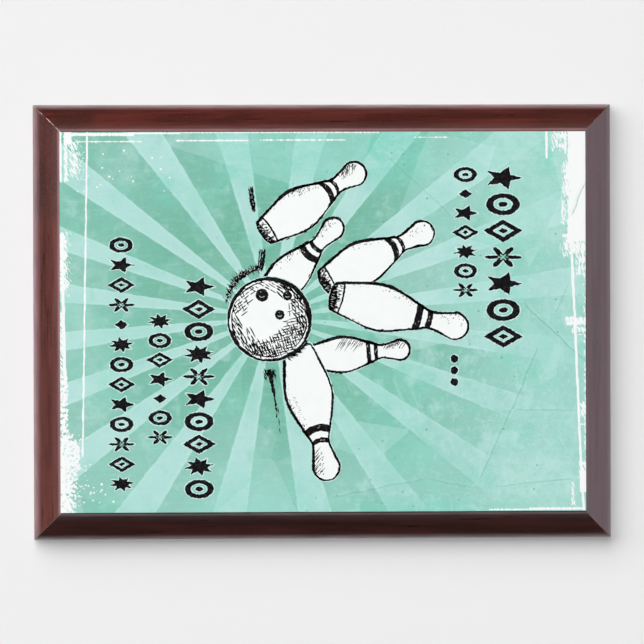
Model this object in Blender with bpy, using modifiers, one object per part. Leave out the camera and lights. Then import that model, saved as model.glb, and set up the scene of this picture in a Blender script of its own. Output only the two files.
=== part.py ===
"""Landscape wall plaque: a bevelled board, wood-grain edge wraps, a face plate and two keyhole hangers.

Metres, +Z up. The origin is the centre of the back, in the plane of the wall. The face looks along -Y,
so "depth" below means the distance in front of the wall, and a point at depth d has y = -d.
"""

import math

import bmesh
import bpy
from mathutils import Matrix, Vector

MM = 0.001
GAP = 0.3 * MM

# Board
PLAQUE_WIDTH = 203.2 * MM
PLAQUE_HEIGHT = 152.4 * MM
FACE_DEPTH = 15.9 * MM
BEVEL_RUN = 9.1 * MM
BEVEL_DROP = 6.5 * MM
OUTER_ARRIS_RADIUS = 1.6 * MM
INNER_ARRIS_RADIUS = 0.8 * MM
ARRIS_STEPS = 5

# Edge wraps
WRAP_THICKNESS = 0.6 * MM
WRAP_LIP_END = 15.0 * MM

# Face plate and its tape
PLATE_WIDTH = 184.0 * MM
PLATE_HEIGHT = 132.9 * MM
PLATE_THICKNESS = 0.8 * MM
PLATE_EDGE_RADIUS = 0.12 * MM
STRIP_LENGTH = 160.0 * MM
STRIP_WIDTH = 15.0 * MM
STRIP_SPACING = 48.0 * MM

# Backing
BACKING_THICKNESS = 0.4 * MM

# Keyhole hangers, measured along their own length from their centre
HANGER_LENGTH = 44.0 * MM
HANGER_WIDTH = 16.0 * MM
HANGER_THICKNESS = 1.6 * MM
HANGER_EDGE_MARGIN = 14.0 * MM
KEYHOLE_RADIUS = 4.75 * MM
KEYHOLE_CENTRE = -4.0 * MM
SLOT_HALF_WIDTH = 2.4 * MM
SLOT_END = 6.0 * MM
NAIL_POCKET_RADIUS = 5.5 * MM
NAIL_POCKET_DEPTH = 9.6 * MM

# Countersunk wood screws
SCREW_OFFSET = 17.0 * MM
SCREW_HEAD_RADIUS = 3.0 * MM
SCREW_HEAD_TOP = 0.05 * MM
SCREW_HEAD_EDGE = 0.1 * MM
SCREW_SHANK_RADIUS = 1.5 * MM
SCREW_SHANK_END = 8.5 * MM
SCREW_TIP = 10.5 * MM
SCREW_HOLE_RADIUS = 2.0 * MM
COUNTERSINK_RADIUS = 3.5 * MM
PILOT_RADIUS = SCREW_SHANK_RADIUS + GAP
PILOT_DEPTH = 11.0 * MM
DRIVE_ARM_LENGTH = 1.4 * MM
DRIVE_ARM_HALF_WIDTH = 0.4 * MM
DRIVE_DEPTH = 1.2 * MM

ARC_STEPS = 16
ROUND_STEPS = 24
OVERCUT = 1.0 * MM
MERGE_DISTANCE = 0.00001
SHARP_ANGLE = math.radians(30.0)

CORE_INSET = WRAP_THICKNESS + GAP
CORE_BACK = BACKING_THICKNESS + GAP


def clear_scene():
    for item in list(bpy.data.objects):
        bpy.data.objects.remove(item, do_unlink=True)


def new_collection(name):
    collection = bpy.data.collections.new(name)
    bpy.context.scene.collection.children.link(collection)
    return collection


def make_material(name, colour, roughness, metallic=0.0):
    material = bpy.data.materials.new(name)
    material.use_nodes = True
    shader = material.node_tree.nodes["Principled BSDF"]
    shader.inputs["Base Color"].default_value = (*colour, 1.0)
    shader.inputs["Roughness"].default_value = roughness
    shader.inputs["Metallic"].default_value = metallic
    return material


def add_object(name, mesh, collection, material=None):
    item = bpy.data.objects.new(name, mesh)
    collection.objects.link(item)
    if material:
        mesh.materials.append(material)
    return item


def finish_bmesh(bm, name):
    """A mesh that is smooth round its curves and sharp at its corners."""
    mesh = bpy.data.meshes.new(name)
    bm.to_mesh(mesh)
    bm.free()
    mesh.shade_smooth()
    mesh.set_sharp_from_angle(angle=SHARP_ANGLE)
    return mesh


def arc(centre, radius, start, stop, steps):
    """Points on an arc in a flat outline, angles in radians, both ends included."""
    points = []
    for step in range(steps + 1):
        angle = start + (stop - start) * step / steps
        points.append((centre[0] + radius * math.cos(angle), centre[1] + radius * math.sin(angle)))
    return points


def rounded_corner(before, corner, after, radius):
    """The arc that rounds one corner of an outline."""
    corner = Vector(corner)
    to_before = (Vector(before) - corner).normalized()
    to_after = (Vector(after) - corner).normalized()
    half_angle = to_before.angle(to_after) / 2
    centre = corner + (to_before + to_after).normalized() * (radius / math.sin(half_angle))
    first = corner + to_before * (radius / math.tan(half_angle)) - centre
    last = corner + to_after * (radius / math.tan(half_angle)) - centre
    turn = first.angle_signed(last)
    start = math.atan2(first.y, first.x)
    return arc(centre, radius, start, start - turn, ARRIS_STEPS)


def stadium(first_end, last_end, radius):
    """A slot-shaped outline whose round ends are centred on two points of the local Y axis."""
    upper = arc((0.0, last_end), radius, 0.0, math.pi, ARC_STEPS)
    lower = arc((0.0, first_end), radius, math.pi, 2 * math.pi, ARC_STEPS)
    return upper + lower


def circle(centre, radius):
    return arc(centre, radius, 0.0, 2 * math.pi, ROUND_STEPS)[:-1]


def rectangle(width, height):
    signs = ((-1, -1), (1, -1), (1, 1), (-1, 1))
    return [(across * width / 2, up * height / 2) for across, up in signs]


def extruded_mesh(name, outlines, thickness):
    """A flat outline, with any holes, extruded along local Z about its own plane."""
    curve = bpy.data.curves.new(name, "CURVE")
    curve.dimensions = "2D"
    curve.fill_mode = "BOTH"
    curve.extrude = thickness / 2
    for outline in outlines:
        spline = curve.splines.new("POLY")
        spline.points.add(len(outline) - 1)
        for point, (x, y) in zip(spline.points, outline):
            point.co = (x, y, 0.0, 1.0)
        spline.use_cyclic_u = True
    guide = bpy.data.objects.new(name, curve)
    bpy.context.scene.collection.objects.link(guide)
    evaluated = guide.evaluated_get(bpy.context.evaluated_depsgraph_get())
    flat = bpy.data.meshes.new_from_object(evaluated)
    bpy.data.objects.remove(guide, do_unlink=True)
    bpy.data.curves.remove(curve)
    bm = bmesh.new()
    bm.from_mesh(flat)
    bpy.data.meshes.remove(flat)
    bmesh.ops.remove_doubles(bm, verts=bm.verts, dist=MERGE_DISTANCE)
    bmesh.ops.recalc_face_normals(bm, faces=bm.faces)
    return finish_bmesh(bm, name)


def box_mesh(name, width, depth, height):
    bm = bmesh.new()
    bmesh.ops.create_cube(bm, size=1.0, matrix=Matrix.Diagonal((width, depth, height, 1.0)))
    return finish_bmesh(bm, name)


def cone_mesh(name, radius_back, radius_front, length):
    """A cone or cylinder along local Z, from radius_back at 0 to radius_front at length."""
    bm = bmesh.new()
    bmesh.ops.create_cone(
        bm,
        cap_ends=True,
        segments=ROUND_STEPS,
        radius1=radius_back,
        radius2=radius_front,
        depth=length,
        matrix=Matrix.Translation((0.0, 0.0, length / 2)),
    )
    return finish_bmesh(bm, name)


def cut(item, cutter):
    modifier = item.modifiers.new(cutter.name, "BOOLEAN")
    modifier.operation = "DIFFERENCE"
    modifier.object = cutter


def add_cutter(name, mesh, matrix):
    cutter = add_object(name, mesh, CUTTERS)
    cutter.matrix_world = matrix
    cutter.hide_render = True
    cutter.display_type = "WIRE"
    return cutter


def facing(along, place):
    """Local Y runs along the given direction in the wall plane, local Z runs away from the wall."""
    forward = Vector((0.0, -1.0, 0.0))
    upward = Vector(along)
    sideways = upward.cross(forward)
    turn = Matrix((sideways, upward, forward)).transposed().to_4x4()
    return Matrix.Translation(place) @ turn


def bevel_corners(inset):
    """The arris's depth, and how far in from the side the land starts, for a skin moved inward by inset."""
    slant = math.hypot(BEVEL_RUN, BEVEL_DROP)
    arris_depth = FACE_DEPTH - BEVEL_DROP + inset * (BEVEL_DROP - slant) / BEVEL_RUN
    land_start = BEVEL_RUN + inset * (slant - BEVEL_RUN) / BEVEL_DROP
    return arris_depth, land_start


def edge_skin(inset):
    """The edge's section from the back to the end of the lip, as (distance from the side, depth)."""
    arris_depth, land_start = bevel_corners(inset)
    back = (inset, 0.0)
    arris = (inset, arris_depth)
    shoulder = (land_start, FACE_DEPTH - inset)
    lip = (WRAP_LIP_END, FACE_DEPTH - inset)
    outer_arc = rounded_corner(back, arris, shoulder, OUTER_ARRIS_RADIUS - inset)
    inner_arc = rounded_corner(arris, shoulder, lip, INNER_ARRIS_RADIUS - inset)
    return [back] + outer_arc + inner_arc + [lip]


def make_edge_wrap(name, inward, length, reach, material):
    """One mitred length of wrap: the section runs along the side and its ends are cut at 45 degrees."""
    section = edge_skin(0.0) + edge_skin(WRAP_THICKNESS)[::-1]
    half_length = length / 2 - GAP / math.sqrt(2)
    mesh = extruded_mesh(name, [section], 2 * half_length)
    for vertex in mesh.vertices:
        vertex.co.z -= math.copysign(vertex.co.x, vertex.co.z)
    item = add_object(name, mesh, PARTS, material)
    across = Vector(inward)
    forward = Vector((0.0, -1.0, 0.0))
    turn = Matrix((across, forward, across.cross(forward))).transposed().to_4x4()
    item.matrix_world = Matrix.Translation(-across * reach) @ turn


def make_edge_wraps():
    material = make_material("cherry_wrap", (0.16, 0.055, 0.042), 0.35)
    sides = {
        "top": ((0, 0, -1), PLAQUE_WIDTH, PLAQUE_HEIGHT / 2),
        "bottom": ((0, 0, 1), PLAQUE_WIDTH, PLAQUE_HEIGHT / 2),
        "left": ((1, 0, 0), PLAQUE_HEIGHT, PLAQUE_WIDTH / 2),
        "right": ((-1, 0, 0), PLAQUE_HEIGHT, PLAQUE_WIDTH / 2),
    }
    for side, (inward, length, reach) in sides.items():
        make_edge_wrap(f"edge_wrap_{side}", inward, length, reach, material)


def make_board_core():
    """The core: a box whose front face is drawn forward and in to form the four bevels."""
    arris_depth, land_start = bevel_corners(CORE_INSET)
    width = PLAQUE_WIDTH - 2 * CORE_INSET
    height = PLAQUE_HEIGHT - 2 * CORE_INSET
    bm = bmesh.new()
    bmesh.ops.create_cube(bm, size=1.0)
    for vertex in bm.verts:
        depth = arris_depth if vertex.co.y < 0 else CORE_BACK
        vertex.co = (vertex.co.x * width, -depth, vertex.co.z * height)
    front = min(bm.faces, key=lambda face: face.calc_center_median().y)
    raised = bmesh.ops.extrude_face_region(bm, geom=[front])["geom"]
    bmesh.ops.delete(bm, geom=[front], context="FACES_ONLY")
    bevel_inset = land_start - CORE_INSET
    for vertex in (item for item in raised if isinstance(item, bmesh.types.BMVert)):
        vertex.co.x -= math.copysign(bevel_inset, vertex.co.x)
        vertex.co.z -= math.copysign(bevel_inset, vertex.co.z)
        vertex.co.y = -(FACE_DEPTH - CORE_INSET)
    bmesh.ops.recalc_face_normals(bm, faces=bm.faces)
    mesh = finish_bmesh(bm, "board_core")
    material = make_material("fibreboard", (0.42, 0.29, 0.17), 0.9)
    return add_object("board_core", mesh, PARTS, material)


def make_printed_plate():
    mesh = box_mesh("printed_plate", PLATE_WIDTH, PLATE_THICKNESS, PLATE_HEIGHT)
    plate = add_object("printed_plate", mesh, PARTS, make_material("print", (0.32, 0.6, 0.5), 0.12))
    plate.location.y = -(FACE_DEPTH + GAP + PLATE_THICKNESS / 2)
    bevel = plate.modifiers.new("eased_edges", "BEVEL")
    bevel.width = PLATE_EDGE_RADIUS
    bevel.segments = 2


def make_adhesive_strips():
    """Tape on the core's face, in the space between the wraps' lips and as thick as they are."""
    material = make_material("tape", (0.85, 0.85, 0.8), 0.7)
    for row, name in enumerate(("lower", "middle", "upper")):
        mesh = box_mesh(f"adhesive_strip_{name}", STRIP_LENGTH, WRAP_THICKNESS, STRIP_WIDTH)
        strip = add_object(f"adhesive_strip_{name}", mesh, PARTS, material)
        strip.location = (0.0, -(FACE_DEPTH - WRAP_THICKNESS / 2), (row - 1) * STRIP_SPACING)


def hanger_places():
    """Each hanger's name, the direction its slot points in, and its centre in the wall plane."""
    centre_from_edge = HANGER_EDGE_MARGIN + HANGER_LENGTH / 2
    return (
        ("hanger_landscape", (0, 0, 1), Vector((0.0, 0.0, PLAQUE_HEIGHT / 2 - centre_from_edge))),
        ("hanger_portrait", (1, 0, 0), Vector((PLAQUE_WIDTH / 2 - centre_from_edge, 0.0, 0.0))),
    )


def hanger_outline(clearance):
    end = HANGER_LENGTH / 2 - HANGER_WIDTH / 2
    return stadium(-end, end, HANGER_WIDTH / 2 + clearance)


def make_backing_sheet(sheet_places):
    """The laminate on the back, with a cut-out for each hanger."""
    width = PLAQUE_WIDTH - 2 * CORE_INSET
    height = PLAQUE_HEIGHT - 2 * CORE_INSET
    upright = facing((0, 0, 1), (0.0, 0.0, 0.0))
    outlines = [rectangle(width, height)]
    for name, along, place in sheet_places:
        to_sheet = upright.inverted() @ facing(along, place)
        corners = [to_sheet @ Vector((x, y, 0.0)) for x, y in hanger_outline(GAP)]
        outlines.append([(corner.x, corner.y) for corner in corners])
    mesh = extruded_mesh("backing_sheet", outlines, BACKING_THICKNESS)
    sheet = add_object("backing_sheet", mesh, PARTS, make_material("backing", (0.03, 0.028, 0.026), 0.85))
    sheet.matrix_world = Matrix.Translation((0.0, -BACKING_THICKNESS / 2, 0.0)) @ upright


def keyhole_outline():
    """A round hole that opens into a narrower slot with a round end."""
    meeting = math.acos(SLOT_HALF_WIDTH / KEYHOLE_RADIUS)
    slot = arc((0.0, SLOT_END), SLOT_HALF_WIDTH, 0.0, math.pi, ARC_STEPS)
    hole_start = math.pi - meeting
    hole_stop = 2 * math.pi + meeting
    hole = arc((0.0, KEYHOLE_CENTRE), KEYHOLE_RADIUS, hole_start, hole_stop, 2 * ARC_STEPS)
    return slot + hole


def make_hanger_plate(name, frame, material):
    outlines = [hanger_outline(0.0), keyhole_outline()]
    for offset in (-SCREW_OFFSET, SCREW_OFFSET):
        outlines.append(circle((0.0, offset), SCREW_HOLE_RADIUS))
    mesh = extruded_mesh(name, outlines, HANGER_THICKNESS)
    plate = add_object(name, mesh, PARTS, material)
    plate.matrix_world = frame @ Matrix.Translation((0.0, 0.0, HANGER_THICKNESS / 2))
    sink_length = COUNTERSINK_RADIUS - SCREW_HOLE_RADIUS + 2 * GAP + OVERCUT
    sink_tip = COUNTERSINK_RADIUS + OVERCUT - sink_length
    for number, offset in enumerate((-SCREW_OFFSET, SCREW_OFFSET)):
        sink = cone_mesh(f"{name}_sink_{number}", COUNTERSINK_RADIUS + OVERCUT, sink_tip, sink_length)
        place = frame @ Matrix.Translation((0.0, offset, -OVERCUT))
        cut(plate, add_cutter(f"{name}_sink_{number}", sink, place))


def cross_outline():
    """A plus sign with equal arms, taken round its twelve corners."""
    points = []
    for quarter in range(4):
        turn = Matrix.Rotation(quarter * math.pi / 2, 2)
        for corner in (
            (DRIVE_ARM_LENGTH, -DRIVE_ARM_HALF_WIDTH),
            (DRIVE_ARM_LENGTH, DRIVE_ARM_HALF_WIDTH),
            (DRIVE_ARM_HALF_WIDTH, DRIVE_ARM_HALF_WIDTH),
        ):
            turned = turn @ Vector(corner)
            points.append((turned.x, turned.y))
    return points


def screw_profile():
    """Half the screw's section from its tip to the middle of its head, as (radius, depth)."""
    head_edge = SCREW_HEAD_TOP + SCREW_HEAD_EDGE
    neck = head_edge + SCREW_HEAD_RADIUS - SCREW_SHANK_RADIUS
    return [
        (0.0, SCREW_TIP),
        (SCREW_SHANK_RADIUS, SCREW_SHANK_END),
        (SCREW_SHANK_RADIUS, neck),
        (SCREW_HEAD_RADIUS, head_edge),
        (SCREW_HEAD_RADIUS, SCREW_HEAD_TOP),
        (0.0, SCREW_HEAD_TOP),
    ]


def make_screw(name, frame, material):
    bm = bmesh.new()
    points = [bm.verts.new((radius, 0.0, depth)) for radius, depth in screw_profile()]
    for first, second in zip(points, points[1:]):
        bm.edges.new((first, second))
    screw = add_object(name, finish_bmesh(bm, name), PARTS, material)
    screw.matrix_world = frame
    turned = screw.modifiers.new("turned", "SCREW")
    turned.steps = ROUND_STEPS
    turned.render_steps = ROUND_STEPS
    turned.use_merge_vertices = True
    turned.merge_threshold = MERGE_DISTANCE
    drive = extruded_mesh(f"{name}_drive", [cross_outline()], 2 * DRIVE_DEPTH)
    cut(screw, add_cutter(f"{name}_drive", drive, frame @ Matrix.Translation((0.0, 0.0, SCREW_HEAD_TOP))))


def make_hanger(name, along, place, core, screw_names, steel, zinc):
    """A keyhole plate with its two screws, and the recess, nail pocket and pilot holes in the core."""
    frame = facing(along, place)
    make_hanger_plate(name, frame, steel)
    recess_depth = HANGER_THICKNESS + GAP
    recess = extruded_mesh(f"{name}_recess", [hanger_outline(GAP)], 2 * recess_depth)
    cut(core, add_cutter(f"{name}_recess", recess, frame))
    pocket_outline = stadium(KEYHOLE_CENTRE, SLOT_END, NAIL_POCKET_RADIUS)
    pocket = extruded_mesh(f"{name}_pocket", [pocket_outline], 2 * NAIL_POCKET_DEPTH)
    cut(core, add_cutter(f"{name}_pocket", pocket, frame))
    for number, offset in enumerate((-SCREW_OFFSET, SCREW_OFFSET)):
        screw_frame = frame @ Matrix.Translation((0.0, offset, 0.0))
        make_screw(screw_names[number], screw_frame, zinc)
        pilot = cone_mesh(f"{name}_pilot_{number}", PILOT_RADIUS, PILOT_RADIUS, PILOT_DEPTH)
        cut(core, add_cutter(f"{name}_pilot_{number}", pilot, screw_frame))


def make_hangers(core, places):
    steel = make_material("hanger_steel", (0.62, 0.62, 0.6), 0.35, 1.0)
    zinc = make_material("zinc_screw", (0.7, 0.7, 0.68), 0.3, 1.0)
    ends = {"hanger_landscape": ("lower", "upper"), "hanger_portrait": ("inner", "outer")}
    for name, along, place in places:
        screw_names = [f"{name}_screw_{end}" for end in ends[name]]
        make_hanger(name, along, place, core, screw_names, steel, zinc)


clear_scene()
PARTS = new_collection("wall_plaque")
CUTTERS = new_collection("cutters")
hangers = hanger_places()
make_edge_wraps()
board_core = make_board_core()
make_printed_plate()
make_adhesive_strips()
make_backing_sheet(hangers)
make_hangers(board_core, hangers)
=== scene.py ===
"""The looks of a landscape wall plaque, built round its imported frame.

Wood-grain edge lengths with mitred corners, a glossy printed plate with a drawn bowling picture and
rows of plain ornaments, and keyhole hangers on the back. Metres, +Z up, the face looks along -Y.
Places on the plate are given in millimetres from its centre: first to the right, then up.
"""

import math
import random
from dataclasses import dataclass

import bmesh
import bpy
from mathutils import Matrix, Vector, noise


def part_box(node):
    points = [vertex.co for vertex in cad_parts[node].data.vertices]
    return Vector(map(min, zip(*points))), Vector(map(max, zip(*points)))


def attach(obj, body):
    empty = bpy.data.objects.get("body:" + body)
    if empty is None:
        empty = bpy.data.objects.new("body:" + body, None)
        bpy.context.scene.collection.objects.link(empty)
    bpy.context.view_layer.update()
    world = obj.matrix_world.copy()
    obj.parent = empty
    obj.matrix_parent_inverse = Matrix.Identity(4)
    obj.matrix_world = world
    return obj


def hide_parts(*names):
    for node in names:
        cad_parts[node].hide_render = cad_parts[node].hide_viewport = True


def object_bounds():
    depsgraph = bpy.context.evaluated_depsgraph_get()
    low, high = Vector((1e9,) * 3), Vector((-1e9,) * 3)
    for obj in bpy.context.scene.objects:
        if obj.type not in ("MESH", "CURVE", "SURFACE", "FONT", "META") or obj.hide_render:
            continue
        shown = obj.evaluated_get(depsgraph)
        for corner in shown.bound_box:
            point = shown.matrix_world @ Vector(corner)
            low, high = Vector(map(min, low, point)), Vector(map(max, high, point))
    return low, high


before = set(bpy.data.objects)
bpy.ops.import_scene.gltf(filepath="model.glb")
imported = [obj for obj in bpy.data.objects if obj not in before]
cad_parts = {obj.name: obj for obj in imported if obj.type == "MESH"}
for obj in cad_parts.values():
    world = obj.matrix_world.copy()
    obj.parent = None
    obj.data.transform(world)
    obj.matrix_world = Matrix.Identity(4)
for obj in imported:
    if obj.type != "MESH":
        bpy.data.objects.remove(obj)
CAD_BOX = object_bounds()

MM = 0.001

# Edge section, as the frame has it
BEVEL_RUN = 9.1
BEVEL_DROP = 6.5
OUTER_ARRIS_RADIUS = 1.6
INNER_ARRIS_RADIUS = 0.8
WRAP_THICKNESS = 0.6
WRAP_LIP_END = 15
MITRE_GAP = 0.04

# Ink
INK_LAYER = 0.022
INK_BLACK = 0
INK_WHITE = 1
INK_HALO = 2
HALO_REACH = 0.32
ORNAMENT_SPACING = 0.55
PIN_SPACING = 0.45
MARK_SPACING = 0.6

# Rays behind the picture: evenly spaced, then stretched sideways
RAY_CENTRE = (-18, 1.9)
RAY_STRETCH = 1.37
RAY_COUNT = 20
RAY_PHASE = math.radians(8.96)
RAY_LIGHT_SHARE = 0.39

# Camera
CAMERA_AZIMUTH = math.radians(-2.4)
CAMERA_ELEVATION = math.radians(0.5)
CAMERA_DISTANCE = 1.893
CAMERA_ROLL = math.radians(-0.17)
CAMERA_LENS = 300
CAMERA_TARGET = (0.2, 0, -0.2)

# Stage
WALL_Y = 0.0001
FLOOR_Z = -0.6
STAGE_REACH = 4
SUN_DISTANCE = 3
OPENING_INSET = 2 * MM


def corners_of(node):
    low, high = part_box(node)
    return [value / MM for value in low], [value / MM for value in high]


def collect(name, data, materials=()):
    item = bpy.data.objects.new(name, data)
    bpy.context.scene.collection.objects.link(item)
    for material in materials:
        data.materials.append(material)
    return item


def mesh_from(bm, name):
    mesh = bpy.data.meshes.new(name)
    bm.to_mesh(mesh)
    bm.free()
    return mesh


def direction(angle):
    return Vector((math.cos(angle), math.sin(angle)))


def in_a_ring(items):
    """Each item's position with the next one's, the last with the first."""
    return [(index, (index + 1) % len(items)) for index in range(len(items))]


# ---------------------------------------------------------------- materials


def feed(tree, value, socket):
    """Joins an output to a socket, or sets the socket to a number, a vector or a colour."""
    value = getattr(value, "socket", value)
    if isinstance(value, bpy.types.NodeSocket):
        tree.links.new(value, socket)
    elif isinstance(value, (int, float)) or len(value) != 3 or socket.type == "VECTOR":
        socket.default_value = value
    else:
        socket.default_value = (*value, 1)


def add_node(tree, kind, inputs, **options):
    node = tree.nodes.new(kind)
    for name, value in options.items():
        setattr(node, name, value)
    for name, value in inputs.items():
        feed(tree, value, node.inputs[name])
    return node


class Signal:
    """A node's output that takes arithmetic, so that a pattern reads as a formula."""

    def __init__(self, tree, socket):
        self.tree = tree
        self.socket = socket

    def math(self, operation, second=0, first=None):
        """The operation on this signal and a second value, or on another first value and this one."""
        inputs = {0: self, 1: second} if first is None else {0: first, 1: self}
        node = add_node(self.tree, "ShaderNodeMath", inputs, operation=operation)
        return Signal(self.tree, node.outputs[0])

    def __add__(self, other):
        return self.math("ADD", other)

    def __sub__(self, other):
        return self.math("SUBTRACT", other)

    def __rsub__(self, other):
        return self.math("SUBTRACT", first=other)

    def __mul__(self, other):
        return self.math("MULTIPLY", other)

    def __truediv__(self, other):
        return self.math("DIVIDE", other)

    def __abs__(self):
        return self.math("ABSOLUTE")

    def step(self, start, stop, low=0, high=1):
        """Low up to start, high from stop on, and smooth between; start may be the larger."""
        if start > stop:
            start, stop, low, high = stop, start, high, low
        inputs = {"Value": self, "From Min": start, "From Max": stop, "To Min": low, "To Max": high}
        node = add_node(self.tree, "ShaderNodeMapRange", inputs, interpolation_type="SMOOTHSTEP")
        return Signal(self.tree, node.outputs["Result"])


class Surface:
    """A Principled material built up in layers of colour. Places are in millimetres."""

    def __init__(self, name, roughness=0.5, metallic=0, specular=0.5):
        self.material = bpy.data.materials.new(name)
        self.material.use_nodes = True
        self.tree = self.material.node_tree
        self.shader = self.tree.nodes["Principled BSDF"]
        self.set("Roughness", roughness)
        self.set("Metallic", metallic)
        self.set("Specular IOR Level", specular)
        metres = self.add("ShaderNodeTexCoord", {}, "Object")
        self.place = self.add("ShaderNodeVectorMath", {0: metres, "Scale": 1 / MM}, 0, operation="SCALE")
        self.x, self.y, self.z = self.add("ShaderNodeSeparateXYZ", {0: self.place}, 0, 1, 2)

    def add(self, kind, inputs, *outputs, **options):
        """Adds a node and gives the outputs asked for."""
        node = add_node(self.tree, kind, inputs, **options)
        found = [Signal(self.tree, node.outputs[name]) for name in outputs]
        return found[0] if len(found) == 1 else found

    def set(self, name, value):
        feed(self.tree, value, self.shader.inputs[name])

    def stretched(self, scale, offset):
        """The place moved, then scaled alike or by axis."""
        scale = (scale, scale, scale) if isinstance(scale, (int, float)) else scale
        moved = self.add("ShaderNodeVectorMath", {0: self.place, 1: offset}, 0, operation="ADD")
        return self.add("ShaderNodeVectorMath", {0: moved, 1: scale}, 0, operation="MULTIPLY")

    def noise_at(self, place, detail, roughness, distortion=0):
        inputs = {"Vector": place, "Scale": 1, "Detail": detail, "Roughness": roughness}
        inputs["Distortion"] = distortion
        return self.add("ShaderNodeTexNoise", inputs, "Fac")

    def noise(self, scale, offset=(0, 0, 0), detail=3, roughness=0.5, distortion=0):
        """Noise of about 0 to 1; scale is features per millimetre."""
        return self.noise_at(self.stretched(scale, offset), detail, roughness, distortion)

    def cells(self, scale, offset):
        """Distance to the nearest cell's middle, and three random numbers for that cell."""
        inputs = {"Vector": self.stretched(scale, offset), "Scale": 1, "Randomness": 1}
        distance, pick = self.add("ShaderNodeTexVoronoi", inputs, "Distance", "Color")
        return distance, self.add("ShaderNodeSeparateColor", {0: pick}, 0, 1, 2)

    def mix(self, cover, first, second):
        inputs = {0: cover, 6: first, 7: second}
        return self.add("ShaderNodeMix", inputs, 2, data_type="RGBA")

    def colour(self, value):
        """The ground that layers go over."""
        self.ground = value
        self.set("Base Color", value)

    def layer(self, cover, colour):
        """Lays a colour over the ground, where and as strongly as the cover says."""
        self.colour(self.mix(cover, self.ground, colour))

    def bump(self, height, distance):
        """Relief whose full height is distance millimetres."""
        inputs = {"Strength": 1, "Distance": distance * MM, "Height": height}
        self.set("Normal", self.add("ShaderNodeBump", inputs, "Normal"))


@dataclass
class EdgeLook:
    """How one length of edge looks. Its wood colour holds painted light and shade for its side, the arrises
    get painted highlights up to a set reach in from the outer one, and foot is painted shade under the plate.
    """

    seed: float
    # wood is the wood colour with painted light and shade for the side; outer and inner are painted highlight
    # colours for the arrises
    wood: tuple
    outer: tuple
    inner: tuple
    figure: float
    bands: float
    # foot is the strength of the painted shadow of the plate on the bevel
    foot: float = 0
    highlight_reach: float = 2.1
    stains: tuple = ()

    def tint(self, red, green, blue):
        """The wood colour with each channel multiplied."""
        return self.wood[0] * red, self.wood[1] * green, self.wood[2] * blue

    def shade(self, factor):
        return self.tint(factor, factor, factor)


# Painted light and shade by side: the bottom's wood is darkest as if in shade, the left's lightest, the
# right's greyish as a painted sheen; the outer and inner colours are painted highlights, brightest on the top
# and left, and the bottom's foot is a painted shadow of the plate.
EDGE_LOOKS = {
    "top": EdgeLook(
        1, (0.084, 0.015, 0.01), (0.46, 0.35, 0.365), (0.3, 0.18, 0.18), 1.7, 0.8,
        stains=((-96, -78, 64, 78, 0.8, 4), (74, 98, 64, 78, 0.6, 5)),
    ),
    "bottom": EdgeLook(
        2, (0.044, 0.0112, 0.0092), (0.3, 0.255, 0.27), (0.2, 0.165, 0.16), 1.6, 0.7, foot=0.55,
    ),
    "left": EdgeLook(
        3, (0.112, 0.033, 0.0275), (0.42, 0.275, 0.295), (0.4, 0.21, 0.21), 1.3, 0.6,
        highlight_reach=3, stains=((-103.5, -88, 34, 78, 1, 5),),
    ),
    "right": EdgeLook(
        4, (0.072, 0.031, 0.037), (0.2, 0.14, 0.165), (0.16, 0.1, 0.11), 0.7, 0.6,
    ),
}


def lay_grain(surface, look, patches, streaks, pores, flecks, bands):
    """The wood's figure, from broad to fine, then its broad light and dark bands."""
    figure = look.figure
    dark = look.shade(0.52)
    # The ground is the side's wood colour, with painted light and shade for that side in it
    surface.colour(look.wood)
    surface.layer(patches.step(0.38, 0.6, 0.45 * figure, 0), dark)
    surface.layer(streaks.step(0.5, 0.72, 0, 0.42 * figure), look.tint(1.7, 1.22, 1.3))
    surface.layer(streaks.step(0.48, 0.3, 0, 0.5 * figure), dark)
    surface.layer(flecks.step(0.56, 0.72, 0, 0.4 * figure), look.shade(1.75))
    surface.layer(pores.step(0.58, 0.72, 0, 0.5 * figure), dark)
    surface.layer(bands.step(0.49, 0.38, 0, 0.85 * look.bands), dark)
    surface.layer(bands.step(0.51, 0.62, 0, 0.85 * look.bands), look.shade(1.38))


def stain_wood(surface, look, patches, dots):
    """Dark dotted stains."""
    covered = soft_boxes(surface, look.stains)
    surface.layer(covered * patches.step(0.62, 0.46, 0.35, 0.9), look.tint(0.44, 0.7, 0.7))
    surface.layer(covered * dots.step(0.54, 0.64, 0, 0.7), look.shade(1.6))


def paint_edge_light(surface, look, inward, highlight_grain):
    """Painted shade under the plate, as a dark foot, then painted highlights along the outer and inner
    arrises.
    """
    # Painted shadow of the plate, darkening the bevel where it meets the plate
    surface.layer(inward.step(4.5, 7.8) * inward.step(8.6, 8) * look.foot, look.shade(0.35))
    even = highlight_grain.step(0.3, 0.7, 0.8, 1.1)
    # Painted highlight on the outer arris, its colour set per side by how light falls
    surface.layer(inward.step(look.highlight_reach, -0.6) * even * surface.y.step(-6.5, -8.4), look.outer)
    # Painted highlight growing towards the inner arris, then a painted highlight line on it
    surface.layer(inward.step(5.8, 8.8, 0, 0.16) * even, look.inner)
    surface.layer(inward.step(8.35, 8.9, 0, 0.6) * even * inward.step(9.55, 9.2), look.inner)


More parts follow.
